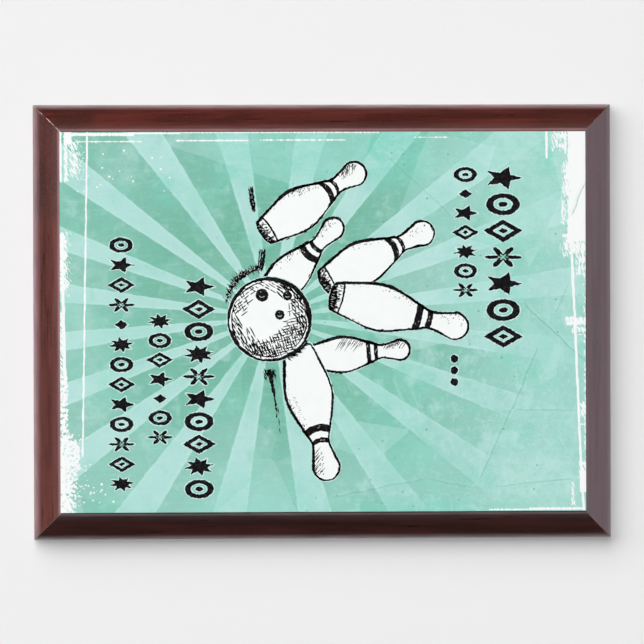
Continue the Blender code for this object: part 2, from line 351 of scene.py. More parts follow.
def cherry_material(side, depth_in, distance_to_mitre, chipped):
    """Dark cherry-grain film under lacquer, grain along the length, with painted highlights along the
    arrises, painted shade under the plate, and painted light and shade by side in its colour.
    """
    look = EDGE_LOOKS[side]
    surface = Surface(f"cherry_{side}", roughness=0.34, specular=0.4)
    shift = (look.seed * 31.7, look.seed * 17.3, look.seed * 23.9)

    def grain(long_way, across, *settings):
        scale = (long_way, across, across) if side in ("top", "bottom") else (across, across, long_way)
        return surface.noise(scale, shift, *settings)

    patches = grain(0.03, 0.16, 4, 0.6, 0.6)
    streaks = grain(0.06, 1.1, 4, 0.65, 0.3)
    pores = grain(1.1, 4.5, 2)
    flecks = grain(0.8, 1.6, 3, 0.6)
    lay_grain(surface, look, patches, streaks, pores, flecks, grain(0.012, 0.34, 2, 0.5, 0.4))
    if look.stains:
        stain_wood(surface, look, patches, surface.noise(1.5, shift, roughness=0.7))
    # Painted shade under the plate and painted highlights on the arrises
    paint_edge_light(surface, look, depth_in(surface), grain(0.1, 0.6))
    broken = surface.noise(0.42, shift, roughness=0.6)
    worn = distance_to_mitre(surface).step(0.36, 0.14) * broken.step(0.42, 0.56) * chipped(surface)
    surface.layer(worn, (0.72, 0.52, 0.53))
    surface.set("Roughness", streaks.step(0.3, 0.7, 0.27, 0.42))
    surface.bump(streaks * 0.6 + pores * 0.4, 0.02)
    surface.set("Coat Weight", 0.35)
    surface.set("Coat Roughness", 0.2)
    return surface.material


def distance_from(surface, place):
    """Millimetres from a place on the plate."""
    off_x = surface.x - place[0]
    off_z = surface.z - place[1]
    return (off_x * off_x + off_z * off_z).math("SQRT")


def ray_pattern(surface):
    """Millimetres outside the edge of the nearest light ray; below zero inside one."""
    across = (surface.x - RAY_CENTRE[0]) / RAY_STRETCH
    upward = surface.z - RAY_CENTRE[1]
    period = 2 * math.pi / RAY_COUNT
    turns = (upward.math("ARCTAN2", across) - RAY_PHASE) / period
    share = (turns + (RAY_COUNT + 0.5)).math("FRACT")
    radius = (across.math("POWER", 2) + upward.math("POWER", 2)).math("SQRT")
    return (abs(share - 0.5) - RAY_LIGHT_SHARE / 2) * period * radius


def crease(surface, start, stop, strength, wander):
    """A thin dark fold line across the print, pale along one side."""
    run = Vector(stop) - Vector(start)
    length = run.length
    run.normalize()
    from_x = surface.x - start[0]
    from_z = surface.z - start[1]
    forward = from_x * run.x + from_z * run.y
    aside = from_z * run.x - from_x * run.y + wander
    ends = forward.step(0, 3) * forward.step(length, length - 3)
    surface.layer(abs(aside - 0.7).step(0.7, 0.1) * ends * (strength * 0.35), (0.52, 0.8, 0.74))
    surface.layer(abs(aside).step(0.38, 0.08) * ends * strength, (0.13, 0.36, 0.3))


def stain_paper(surface):
    """Adds damp and sun-bleached areas, mottled within, and the pitting of the old paper."""
    bleached_places = (
        (54, 90, 22, 74, 0.52, 9),
        (56, 92, -66, -42, 0.5, 8),
        (-98, -70, -46, 34, 0.3, 12),
        (-82, -62, 44, 66, 0.3, 7),
    )
    damp_places = (
        (-42, 46, 42, 76, 0.66, 12),
        (4, 32, 50, 76, 0.8, 8),
        (38, 72, -6, 32, 0.4, 8),
        (26, 50, 26, 52, 0.34, 7),
        (-62, -50, 38, 54, 0.45, 5),
        (-34, 2, -78, -50, 0.46, 8),
        (4, 56, -76, -59, 0.5, 6),
        (12, 40, -56, -14, 0.3, 9),
        (48, 62, -60, -48, 0.45, 5),
        (70, 86, -26, 4, 0.24, 7),
        (74, 86, 50, 68, 0.5, 5),
    )
    mottle = surface.noise((0.22, 0.22, 0.34), (31, 0, 12), detail=4, roughness=0.7)
    surface.layer(soft_boxes(surface, bleached_places) * mottle.step(0.64, 0.4, 0.4, 1), (0.53, 0.775, 0.725))
    surface.layer(soft_boxes(surface, damp_places) * mottle.step(0.36, 0.6, 0.45, 1), (0.195, 0.625, 0.5))
    pits = surface.noise(0.62, (5, 0, 61), detail=5, roughness=0.78)
    right_hand = surface.x.step(0, 70, 0.25, 1)
    surface.layer(pits.step(0.52, 0.68, 0, 0.42) * right_hand, (0.25, 0.59, 0.5))
    surface.layer(pits.step(0.48, 0.34, 0, 0.36) * right_hand, (0.56, 0.8, 0.755))


def lay_rays(surface, away, blotches):
    """The teal rays: deeper near their centre, lost towards the lower right, light ones with a paler rim."""
    wobble = surface.noise(0.3)
    outside = ray_pattern(surface) + (wobble - 0.5) * 0.7
    light = outside.step(0.16, -0.16)
    rim = light * outside.step(-1.1, -0.2)
    lost = (away + (blotches - 0.5) * 90).step(28, 98, 0, 0.88)
    core = distance_from(surface, RAY_CENTRE).step(74, 24)
    surface.colour((0.44, 0.715, 0.675))
    surface.layer(core, (0.425, 0.69, 0.645))
    surface.layer(rim * 0.35, (0.5, 0.79, 0.73))
    light_ray = surface.ground
    surface.colour((0.205, 0.495, 0.392))
    surface.layer(surface.x.step(28, 84), (0.33, 0.625, 0.552))
    surface.layer(core, (0.158, 0.44, 0.322))
    surface.layer(surface.z.step(10, -66) * 0.22, (0.33, 0.64, 0.575))
    surface.layer(lost * 0.6, (0.395, 0.69, 0.635))
    surface.layer(light * (1 - lost), light_ray)


def fold_paper(surface, away, aged):
    """Flat facets left by folding, and pale washes over them."""
    _, facets = surface.cells((0.03, 0.03, 0.036), (21, 0, 34))
    surface.layer(facets[0].step(0.45, 1, 0, 0.34) * aged, (0.52, 0.765, 0.735))
    surface.layer(facets[1].step(0.55, 1, 0, 0.32) * aged, (0.285, 0.655, 0.545))
    washes = surface.noise((0.085, 0.085, 0.06), (17, 0, 2), detail=4, roughness=0.65, distortion=0.8)
    surface.layer(washes.step(0.54, 0.66, 0, 0.5) * away.step(0, 60, 0.12, 1), (0.48, 0.745, 0.7))


def speckle(surface):
    """Small dark round specks, more of them to the right."""
    distance, pick = surface.cells(0.26, (2, 0, 9))
    size = pick[1].step(0, 1, 0.05, 0.13)
    speck = (distance - size).step(0.02, -0.03) * pick[0].step(0.6, 0.62)
    surface.layer(speck * surface.x.step(-40, 60, 0.15, 0.6), (0.09, 0.27, 0.23))


CREASES = (
    ((69.7, 6.6), (92.1, -14.5), 0.42),
    ((80.5, 1.5), (86.7, 14.9), 0.26),
    ((67, -28.5), (75.4, -8.4), 0.36),
    ((53.8, -56.6), (67.9, -26.5), 0.32),
    ((66, -30.8), (88.5, -31.2), 0.24),
    ((60, -58), (88, -55), 0.26),
    ((20, 60), (46, 36), 0.2),
    ((2, -61.5), (36, -55), 0.24),
    ((36, -55), (52, -58.5), 0.24),
)
BORDER_CREASE = ((87, 36), (92, 49.5), 0.5)


def print_material():
    """The plate's glossy print: worn paper with teal rays, folds, damp stains and a ragged white border."""
    surface = Surface("plate_print", roughness=0.16, specular=0.35)
    away = surface.x * 0.75 - surface.z * 0.65
    blotches = surface.noise(0.055, (11, 0, 5), roughness=0.55)
    patches = surface.noise(0.16, (3, 0, 40), detail=4, roughness=0.6)
    brushed = surface.noise((0.07, 0.5, 0.9), (7, 0, 21), roughness=0.6)
    grain = surface.noise(1.6, detail=2)
    lay_rays(surface, away, blotches)
    aged = away.step(-30, 60, 0.75, 1.1)
    surface.layer(blotches.step(0.5, 0.7, 0, 0.6) * aged, (0.255, 0.64, 0.52))
    surface.layer(patches.step(0.52, 0.74, 0, 0.5) * aged, (0.5, 0.755, 0.715))
    surface.layer(patches.step(0.46, 0.3, 0, 0.46) * aged, (0.27, 0.61, 0.5))
    stain_paper(surface)
    fold_paper(surface, away, aged)
    surface.layer(brushed.step(0.55, 0.78, 0, 0.22), (0.27, 0.6, 0.5))
    surface.layer(brushed.step(0.45, 0.25, 0, 0.18), (0.47, 0.74, 0.68))
    surface.layer(grain.step(0.35, 0.65, 0, 0.08), (0.2, 0.48, 0.4))
    wander = (patches - 0.5) * 2.2
    for start, stop, strength in CREASES:
        crease(surface, start, stop, strength, wander)
    speckle(surface)
    surface.layer(white_border(surface), (0.88, 0.9, 0.895))
    crease(surface, *BORDER_CREASE, wander)
    surface.set("Roughness", grain.step(0.3, 0.7, 0.14, 0.2))
    surface.bump(surface.noise(0.9, detail=1), 0.002)
    return surface.material


def soft_boxes(surface, boxes):
    """The strongest cover of some soft rectangles, each (left, right, bottom, top, cover, softness)."""
    best = None
    for left, right, bottom, top, cover, softness in boxes:
        off_x = abs(surface.x - (left + right) / 2) - (right - left) / 2
        off_z = abs(surface.z - (bottom + top) / 2) - (top - bottom) / 2
        value = off_x.math("MAXIMUM", off_z).step(0, -softness, 0, cover)
        best = value if best is None else best.math("MAXIMUM", value)
    return best


def hatch_noise(surface, angle, along, across, seed):
    """Fine strokes leaning at an angle from level, spread over about 0 to 1."""
    turn = math.radians(angle)
    forward = surface.x * (math.cos(turn) * along) + surface.z * (math.sin(turn) * along)
    aside = surface.z * (math.cos(turn) * across) - surface.x * (math.sin(turn) * across)
    place = surface.add("ShaderNodeCombineXYZ", {0: forward, 1: aside, 2: seed}, 0)
    return surface.noise_at(place, 3, 0.6).step(0.28, 0.72)


def beside(edge, rows):
    """Rectangles whose left and right are measured from one edge of the plate."""
    return [(edge + left, edge + right, *rest) for left, right, *rest in rows]


def brushed_border(surface, left, right, bottom, top):
    """1 inside the hatched white brush marks at the edges."""
    out = 3
    left_marks = beside(left, (
        (0.9, 5, top - 5, top + out, 1.2, 1.2),
        (0.7, 9.4, top - 18, top - 1, 0.94, 6),
        (0.9, 3.6, 48.5, top, 0.98, 1.4),
        (-out, 5, 8, 33, 0.8, 4),
        (-out, 2.2, -22, 5, 0.7, 1.6),
    ))
    low_left_marks = beside(left, (
        (-out, 3.3, bottom - out, -18, 0.86, 1.2),
        (-out, 5.6, bottom - out, -38, 0.92, 2.4),
        (-out, 7.9, -52.5, -40, 0.9, 2),
        (-out, 7.8, bottom - out, -50, 0.74, 3.6),
        (-out, 4.6, bottom - out, -44, 1, 1.4),
    ))
    right_marks = beside(right, (
        (-6.9, out, 27, top + out, 1.02, 1.2),
        (-5.6, out, 36, top + out, 1.3, 1),
        (-9.6, out, 42, top - 9, 0.84, 3),
        (-13, -5, top - 8, top + out, 0.6, 2.5),
        (-9.4, -6, 33, 43, 0.62, 1.4),
        (-9.6, out, 21, 32.5, 0.8, 3.4),
        (-4.4, out, 15, 27, 0.66, 1.8),
        (-7.8, out, -2.2, 2.2, 0.92, 1.5),
        (-5.6, out, -4.6, -1.4, 0.8, 1.2),
        (-3.2, out, -35, -27, 0.7, 1.8),
        (-3.4, out, -56, -48, 0.78, 1.8),
        (-5.6, -3.6, -65, -56, 0.78, 1),
        (-1.2, out, -60, 22, 0.46, 0.8),
    ))
    steep = hatch_noise(surface, -58, 0.45, 1.9, 3) - soft_boxes(surface, left_marks)
    upright = hatch_noise(surface, -76, 0.5, 1.7, 7) - soft_boxes(surface, right_marks)
    spatter = surface.noise(0.95, (1, 0, 31), detail=2, roughness=0.6).step(0.26, 0.7)
    spatter = spatter - soft_boxes(surface, low_left_marks)
    return steep.math("MINIMUM", upright).math("MINIMUM", spatter).step(-0.02, -0.1)


def ruled_border(surface, left, right, bottom, top):
    """1 inside the thin ruled white lines, each with how far it leans to the right for each millimetre up."""
    lines = (
        (-83.6, -83, -47, top, 0.017),
        (left + 2, -66, top - 1.35, top - 0.3, 0.02),
        (-68, -50, top - 0.75, top - 0.15, 0),
        (-52, 20, top - 0.4, top - 0.1, 0),
        (-86.5, -63, 62.95, 63.3, 0),
        (-51.5, -26, 63.2, 63.65, 0),
        (-22, 8, 63.4, 63.75, 0),
        (32, 43.5, 64.3, 64.6, 0),
        (72, right - 0.6, bottom + 0.35, bottom + 1.2, 0),
        (58, 74, bottom + 0.35, bottom + 0.8, 0),
    )
    left_lines = beside(left, (
        (0, 0.75, 49, top, 0),
        (0.6, 1.7, -20, 31, -0.02),
    ))
    right_lines = beside(right, (
        (-14.1, -13.3, top - 9.5, top, 0),
        (-7.4, -6.7, top - 8, top, 0),
        (-9.1, -8.8, 23.5, 27.5, 0),
        (-3.8, -2.95, -48.5, 23.5, -0.0415),
        (-1.8, -0.95, -66.3, -48.5, -0.059),
        (-2.3, 0, -60, -52.5, 0),
        (-3.6, 0, -4.9, -4.6, 0),
        (-2.6, 0, -36.3, -36, 0),
    ))
    uneven = (surface.noise((1.3, 1, 0.25), (8, 0, 2)) - 0.5) * 0.9
    nearest = None
    for start, stop, low, high, lean in [*lines, *left_lines, *right_lines]:
        upward = surface.z - (low + high) / 2
        across = abs(surface.x - (start + stop) / 2 - upward * lean) - (stop - start) / 2
        distance = across.math("MAXIMUM", abs(upward) - (high - low) / 2)
        nearest = distance if nearest is None else nearest.math("MINIMUM", distance)
    return (nearest + uneven).step(0.12, -0.12)


def white_border(surface):
    """1 where the print is bare white."""
    low, high = corners_of("printed_plate")
    edges = (low[0], high[0], low[2], high[2])
    return brushed_border(surface, *edges).math("MAXIMUM", ruled_border(surface, *edges))


def ink_materials():
    """The black, white and halo inks, in the order of their numbers."""
    black = Surface("ink_black", roughness=0.22, specular=0.35)
    tint = black.noise(0.9)
    black.colour((0.0045, 0.004, 0.005))
    black.layer(tint.step(0.3, 0.7), (0.011, 0.0095, 0.011))
    black.set("Roughness", tint.step(0.3, 0.7, 0.18, 0.3))
    black.bump(black.noise(1.2, detail=2), 0.003)
    inks = [black.material]
    for name, scale, first, second in (
        ("ink_white", 0.25, (0.865, 0.895, 0.88), (0.885, 0.91, 0.9)),
        ("ink_halo", 0.8, (0.5, 0.74, 0.69), (0.64, 0.83, 0.79)),
    ):
        surface = Surface(name, roughness=0.18, specular=0.35)
        surface.colour(first)
        surface.layer(surface.noise(scale).step(0.3, 0.7), second)
        surface.bump(surface.noise(0.9, detail=1), 0.002)
        inks.append(surface.material)
    return inks


def steel_material(name, tint, brushed_along):
    """Zinc-plated steel: faint spangle, fine drawn lines, and dull spots."""
    surface = Surface(name, roughness=0.34, metallic=1)
    drawn = surface.noise(brushed_along, detail=2)
    dull = surface.noise(0.12, (9, 0, 4), detail=4, roughness=0.65)
    surface.colour([channel * 0.72 for channel in tint])
    surface.layer(surface.noise(0.35, roughness=0.6).step(0.3, 0.75), tint)
    surface.layer(dull.step(0.56, 0.72, 0, 0.5), [channel * 0.5 for channel in tint])
    surface.set("Roughness", (drawn + dull).step(0.7, 1.4, 0.26, 0.5))
    surface.bump(drawn, 0.006)
    return surface.material


def paper_material():
    """Black paper laminate with short fibres and a few scuffs."""
    surface = Surface("paper_backing", roughness=0.8, specular=0.3)
    fibres = surface.noise((1.1, 1.1, 4), detail=4, roughness=0.7, distortion=1.2)
    clouds = surface.noise(0.05, detail=4)
    scuffs = surface.noise((0.06, 0.06, 0.9), (3, 0, 8), detail=4, distortion=1)
    surface.colour((0.02, 0.018, 0.017))
    surface.layer(fibres.step(0.35, 0.7), (0.043, 0.039, 0.036))
    surface.layer(clouds.step(0.45, 0.7, 0, 0.4), (0.05, 0.045, 0.041))
    surface.layer(scuffs.step(0.66, 0.76, 0, 0.5), (0.13, 0.12, 0.11))
    surface.set("Roughness", fibres.step(0.3, 0.7, 0.68, 0.9))
    surface.bump(fibres, 0.03)
    return surface.material


def fibreboard_material():
    surface = Surface("raw_fibreboard", roughness=0.9, specular=0.2)
    fibres = surface.noise((0.8, 3, 2), detail=5, roughness=0.7, distortion=1.5)
    surface.colour((0.3, 0.19, 0.105))
    surface.layer(fibres.step(0.3, 0.7), (0.48, 0.34, 0.21))
    surface.layer(surface.noise(2.5, detail=2).step(0.6, 0.75, 0, 0.5), (0.2, 0.12, 0.065))
    surface.set("Roughness", fibres.step(0.3, 0.7, 0.82, 0.96))
    surface.bump(fibres, 0.12)
    return surface.material


def tape_material():
    surface = Surface("foam_tape", roughness=0.7, specular=0.3)
    pores = surface.noise(3, roughness=0.6)
    surface.colour((0.62, 0.61, 0.56))
    surface.layer(pores.step(0.35, 0.7), (0.85, 0.845, 0.8))
    surface.set("Roughness", pores.step(0.3, 0.7, 0.6, 0.85))
    surface.bump(pores, 0.08)
    return surface.material


# ---------------------------------------------------------------- edge lengths


def rounded(before, corner, after, radius, steps):
    """The corner turned into an arc."""
    corner = Vector(corner)
    to_before = (Vector(before) - corner).normalized()
    to_after = (Vector(after) - corner).normalized()
    half_angle = to_before.angle(to_after) / 2
    centre = corner + (to_before + to_after).normalized() * (radius / math.sin(half_angle))
    first = corner + to_before * (radius / math.tan(half_angle)) - centre
    last = corner + to_after * (radius / math.tan(half_angle)) - centre
    start = math.atan2(first.y, first.x)
    turn = -first.angle_signed(last)
    return [tuple(centre + direction(start + turn * step / steps) * radius) for step in range(steps + 1)]


def between(first, last, steps):
    """Points strictly between two, evenly spaced."""
    first, last = Vector(first), Vector(last)
    return [tuple(first.lerp(last, step / steps)) for step in range(1, steps)]


def edge_skin(inset, face_depth, fine):
    """The edge's section from the back to the end of the lip, as (distance in from the side, depth)."""
    slant = math.hypot(BEVEL_RUN, BEVEL_DROP)
    arris = (inset, face_depth - BEVEL_DROP + inset * (BEVEL_DROP - slant) / BEVEL_RUN)
    shoulder = (BEVEL_RUN + inset * (slant - BEVEL_RUN) / BEVEL_DROP, face_depth - inset)
    back = (inset, 0)
    lip = (WRAP_LIP_END, face_depth - inset)
    outer = rounded(back, arris, shoulder, OUTER_ARRIS_RADIUS - inset, 10 if fine else 4)
    inner = rounded(arris, shoulder, lip, INNER_ARRIS_RADIUS - inset, 6 if fine else 3)
    if not fine:
        return [back] + outer + inner + [lip]
    side = between(back, outer[0], 5)
    bevel = between(outer[-1], inner[0], 10)
    return [back] + side + outer + bevel + inner + between(inner[-1], lip, 4) + [lip]


def edge_length(side, across, length, reach, seed, face_depth, material):
    """One length of wrap, mitred by drawing its ends in as the section leaves the side."""
    stations = 72
    outer_skin = edge_skin(0, face_depth, True)
    section = outer_skin + edge_skin(WRAP_THICKNESS, face_depth, False)[::-1]
    across = Vector(across)
    forward = Vector((0, -1, 0))
    along = across.cross(forward)
    bm = bmesh.new()
    rows = []
    for station in range(stations + 1):
        share = 2 * station / stations - 1
        row = []
        for index, (inward, depth) in enumerate(section):
            run = share * (length / 2 - inward - MITRE_GAP)
            ripple = 0
            if index < len(outer_skin) and 1 < depth < face_depth - 0.05:
                ripple = 0.03 * noise.noise(Vector((run / 14, inward / 4, seed * 9.1)))
            place = across * (inward - reach - ripple * 0.6) + forward * (depth + ripple * 0.8) + along * run
            row.append(bm.verts.new(place * MM))
        rows.append(row)
    for first, second in zip(rows, rows[1:]):
        for index, after in in_a_ring(section):
            bm.faces.new((first[index], first[after], second[after], second[index]))
    bm.faces.new(rows[0][::-1])
    bm.faces.new(rows[-1])
    bmesh.ops.recalc_face_normals(bm, faces=bm.faces)
    mesh = mesh_from(bm, f"wood_edge_{side}")
    mesh.shade_smooth()
    mesh.set_sharp_from_angle(angle=math.radians(35))
    piece = collect(f"wood_edge_{side}", mesh, [material])
    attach(piece, "root")
    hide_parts(f"edge_wrap_{side}")


def make_edges():
    low, high = corners_of("edge_wrap_top")
    half_width = high[0]
    half_height = high[2]
    face_depth = -low[1]

    def from_side(sign, axis, half):
        return lambda surface: half - getattr(surface, axis) * sign

    def to_mitre(surface):
        return abs((half_width - abs(surface.x)) - (half_height - abs(surface.z)))

    def chipped(surface):
        """Strong at the top left corner and faint at the others."""
        to_left = surface.x.step(-80, -90)
        to_top = surface.z.step(55, 65)
        return (to_left * to_top).step(0, 1, 0.1, 0.95)

    plan = (
        ("top", (0, 0, -1), half_width, half_height, 1, "z"),
        ("bottom", (0, 0, 1), half_width, half_height, -1, "z"),
        ("left", (1, 0, 0), half_height, half_width, -1, "x"),
        ("right", (-1, 0, 0), half_height, half_width, 1, "x"),
    )
    for side, across, half_length, reach, sign, axis in plan:
        material = cherry_material(side, from_side(sign, axis, reach), to_mitre, chipped)
        edge_length(side, across, 2 * half_length, reach, EDGE_LOOKS[side].seed, face_depth, material)


# ---------------------------------------------------------------- ink


class Ink:
    """Thin closed solids of ink on the plate, gathered into one piece."""

    def __init__(self, name, front, base=0, seed=0):
        self.name = name
        self.front = front
        self.base = base
        self.random = random.Random(seed)
        self.bm = bmesh.new()

    def rows(self, points, layer):
        """The same outline at the plate's face and at the top of a layer."""
        bottom = self.front + INK_LAYER * self.base
        top = bottom + INK_LAYER * layer
        back = [self.bm.verts.new(Vector((x, -bottom, z)) * MM) for x, z in points]
        face = [self.bm.verts.new(Vector((x, -top, z)) * MM) for x, z in points]
        return back, face

    def paint(self, faces, ink):
        for face in faces:
            face.material_index = ink

    def area(self, outline, ink, layer):
        """A filled outline."""
        back, face = self.rows(outline, layer)
        made = [self.bm.faces.new(back[::-1]), self.bm.faces.new(face)]
        for index, after in in_a_ring(outline):
            made.append(self.bm.faces.new((back[index], back[after], face[after], face[index])))
        self.paint(made, ink)

    def band(self, one_side, other_side, ink, layer, closed=False):
        """A ribbon between two lines with the same number of points."""
        back_one, face_one = self.rows(one_side, layer)
        back_two, face_two = self.rows(other_side, layer)
        rims = (face_one, face_two, back_two, back_one)
        made = []
        for index, after in in_a_ring(face_one)[:None if closed else -1]:
            for rim, following in zip(rims, rims[1:] + rims[:1]):
                made.append(self.bm.faces.new((rim[index], rim[after], following[after], following[index])))
        if not closed:
            for end in (0, -1):
                made.append(self.bm.faces.new([rim[end] for rim in rims]))
        self.paint(made, ink)

    def pick(self, low, high):
        return self.random.uniform(low, high)

    def rough(self, amount):
        return self.pick(-amount, amount)

    def jog(self, amount):
        """A small random move."""
        return self.within((-amount, amount), (-amount, amount))

    def within(self, across, upward):
        return Vector((self.pick(*across), self.pick(*upward)))

    def stroke(self, path, width, ink=INK_BLACK, layer=3, roughness=0.12, closed=False, taper=0):
        """A pen line of uneven width; width may be a number or a function of the share along it."""
        path = [Vector(point) for point in path]
        count = len(path)
        one_side, other_side = [], []
        for index, point in enumerate(path):
            before = path[index - 1] if index or closed else path[0]
            after = path[(index + 1) % count] if index < count - 1 or closed else path[-1]
            run = (after - before).normalized() if (after - before).length > 1e-9 else Vector((1, 0))
            aside = Vector((-run.y, run.x))
            share = index / max(1, count - 1)
            half = (width(share) if callable(width) else width) / 2
            if taper:
                half *= max(0.12, min(1, share / taper, (1 - share) / taper))
            one_side.append(point + aside * max(0.03, half + self.rough(roughness)))
            other_side.append(point - aside * max(0.03, half + self.rough(roughness)))
        self.band(one_side, other_side, ink, layer, closed)

    def tick(self, start, stop, width=0.22, ink=INK_BLACK, layer=3):
        """A short pen flick with thin ends."""
        start, stop = Vector(start), Vector(stop)
        bow = (stop - start).orthogonal() * self.rough(0.05)
        middle = (start + stop) / 2 + bow
        path = [start, start.lerp(middle, 0.6), middle, stop.lerp(middle, 0.6), stop]
        self.stroke(path, width, ink, layer, 0.03, taper=0.4)

    def finish(self, materials):
        bmesh.ops.recalc_face_normals(self.bm, faces=self.bm.faces)
        piece = collect(self.name, mesh_from(self.bm, self.name), materials)
        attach(piece, "root")


def resample(points, spacing, closed=True):
    """The same line with points about spacing millimetres apart."""
    result = []
    ends = points[1:] + points[:1] if closed else points[1:]
    for first, last in zip(points, ends):
        first, last = Vector(first), Vector(last)
        steps = max(1, round((last - first).length / spacing))
        result += [first.lerp(last, step / steps) for step in range(steps)]
    if not closed:
        result.append(Vector(points[-1]))
    return result


def grown(outline, amount):
    """The outline moved outward, for one that runs anticlockwise."""
    result = []
    count = len(outline)
    for index in range(count):
        run = (Vector(outline[(index + 1) % count]) - Vector(outline[index - 1])).normalized()
        result.append(Vector(outline[index]) + Vector((run.y, -run.x)) * amount)
    return result


# A pin's half width at shares of its length, from the base to where the round head starts
PIN_SHAPE = (
    (0, 0.102), (0.09, 0.128), (0.36, 0.176), (0.62, 0.098), (0.715, 0.063), (0.8, 0.076), (0.895, 0.102),
)
PIN_HEAD_START, PIN_HEAD_HALF_WIDTH = PIN_SHAPE[-1]
PIN_HEAD = 0.105
FOOT_BOW = -0.24
FOOT_LINE = 0.058
PIN_BANDS = ((0.585, 0.64), (0.675, 0.71))


def smooth_through(pairs, at):
    """A smooth curve through (position, value) pairs."""
    slopes = []
    for index in range(len(pairs)):
        before, after = pairs[max(0, index - 1)], pairs[min(len(pairs) - 1, index + 1)]
        slopes.append((after[1] - before[1]) / (after[0] - before[0]))
    for index in range(len(pairs) - 1):
        (start, low), (stop, high) = pairs[index], pairs[index + 1]
        if at <= stop or index == len(pairs) - 2:
            span = stop - start
            t = min(1, max(0, (at - start) / span))
            ease = t * t * (3 - 2 * t)
            push = t * (1 - t) ** 2 * slopes[index] * span
            pull = t * t * (1 - t) * slopes[index + 1] * span
            return low + (high - low) * ease + push - pull
    return pairs[-1][1]


def pin_half_width(share, plump):
    if share <= PIN_HEAD_START:
        return smooth_through(PIN_SHAPE, share) * plump
    round_share = (share - PIN_HEAD_START) / PIN_HEAD
    return math.sqrt(max(0, 1 - round_share ** 2)) * PIN_HEAD_HALF_WIDTH * plump


class Pin:
    """One drawn pin, with places along it given as shares of its length from the base."""

    def __init__(self, base, tip, plump=1):
        self.base = Vector(base)
        self.axis = Vector(tip) - self.base
        self.length = self.axis.length
        self.aside = Vector((-self.axis.y, self.axis.x))
        self.run = self.axis.normalized()
        self.across = self.aside.normalized()
        self.plump = plump

    def at(self, share, across):
        """across is -1 to 1 from one side of the pin to the other."""
        return self.base + self.axis * share + self.aside * across * pin_half_width(share, self.plump)

    def arc(self, share, bow, start=-1, stop=1, steps=14):
        """A line across the pin that bulges towards the tip by bow times its half width."""
        points = []
        for step in range(steps + 1):
            across = start + (stop - start) * step / steps
            bulge = bow * (1 - across * across) * pin_half_width(share, self.plump)
            points.append(self.at(share, across) + self.axis * bulge)
        return points

    def outline(self, base_bow):
        """Anticlockwise round the pin: the far side of the base, the low side, the head, the high side."""
        shares = [step / 44 for step in range(44)]
        head = [PIN_HEAD_START + PIN_HEAD * math.sin(step * math.pi / 2 / 12) for step in range(13)]
        shares = [share for share in shares if share < head[0]] + head
        low_side = [self.at(share, -1) for share in shares]
        high_side = [self.at(share, 1) for share in shares[:-1]][::-1]
        return low_side + high_side + self.arc(0, base_bow)[::-1][1:-1]


@dataclass
class PinLook:
    """How one pin is drawn: fullness, shaded side (1 or -1), bulge of its rings, and its pen work."""

    plump: float = 1
    shade: float = 1
    bow: float = 0.35
    foot: float = 1
    bands: tuple = PIN_BANDS
    flicks: int = 40
    reach: float = 0.7
    lines: tuple = ()


def draw_pin(name, front, base, foot, tip, seed, materials, look):
    """A pin: pale halo, white body, an outline heavier on the shaded side, foot, neck bands, hatching."""
    ink = Ink(name, front, base, seed)
    pin = Pin(foot, tip, look.plump)
    outline = resample([tuple(point) for point in pin.outline(FOOT_BOW)], PIN_SPACING)
    ink.area(grown(outline, 0.6), INK_HALO, 1)
    ink.area(outline, INK_WHITE, 2)
    count = len(outline)

    def line_width(share):
        point = outline[min(count - 1, round(share * (count - 1)))] - pin.base
        across = point.dot(pin.across) / (0.17 * pin.length)
        along = point.dot(pin.run) / pin.length
        return 0.56 + 0.42 * max(0, across * look.shade) + 0.28 * math.sin(9 * along + seed) ** 2

    ink.stroke(outline, line_width, roughness=0.11, closed=True)
    sketch_over(ink, outline, 13, (8, 22), 0.42, 0.24)
    sketch_over(ink, outline, 34, (3, 6), 0.58, 0.3)
    if look.foot:
        draw_pin_foot(ink, pin, look.foot)
    draw_pin_neck(ink, pin, look)
    draw_pin_bands(ink, pin, look)
    draw_pin_hatching(ink, pin, look)
    ink.finish(materials)


def sketch_over(ink, outline, number, length, most_drift, width):
    """Loose second passes of the pen beside parts of an outline."""
    count = len(outline)
    for _ in range(number):
        start = ink.random.randrange(count)
        run = ink.random.randrange(*length)
        drift = ink.rough(most_drift)
        part = [outline[(start + step) % count] for step in range(run)]
        moved = []
        for index, point in enumerate(part):
            ahead = part[min(index + 1, run - 1)] - part[max(index - 1, 0)]
            aside = Vector((-ahead.y, ahead.x)).normalized()
            moved.append(point + aside * drift)
        ink.stroke(moved, width, roughness=0.06, taper=0.3)


def draw_pin_foot(ink, pin, dark):
    """The dark foot: black along the far rim, pen strokes inward, and the near rim as a line."""
    ink.stroke(pin.arc(FOOT_LINE, 0.1), 0.66, roughness=0.12)
    rim = pin.arc(0, FOOT_BOW, -1, 1, 26)
    edge = []
    for step, point in enumerate(rim):
        share = step / 26
        reach = dark * (1.1 + 1.6 * math.sin(math.pi * min(1, share * 1.1 + 0.05))) + ink.rough(0.35)
        edge.append(point + pin.run * max(0.2, reach))
    ink.band(rim, edge, INK_BLACK, 3)
    for _ in range(round(46 * dark)):
        across = ink.pick(-0.9, 0.9)
        start = pin.at(ink.pick(0, 0.034), across)
        ink.tick(start, start + pin.run * ink.pick(0.8, 1.6) + pin.across * ink.rough(0.6), 0.36)
    for _ in range(14):
        across = ink.pick(-0.8, 0.8)
        start = pin.at(ink.pick(-0.02, 0.015), across)
        stop = start + pin.run * ink.pick(0.5, 1.1) + pin.across * ink.rough(0.4)
        ink.tick(start, stop, 0.14, INK_WHITE, 4)


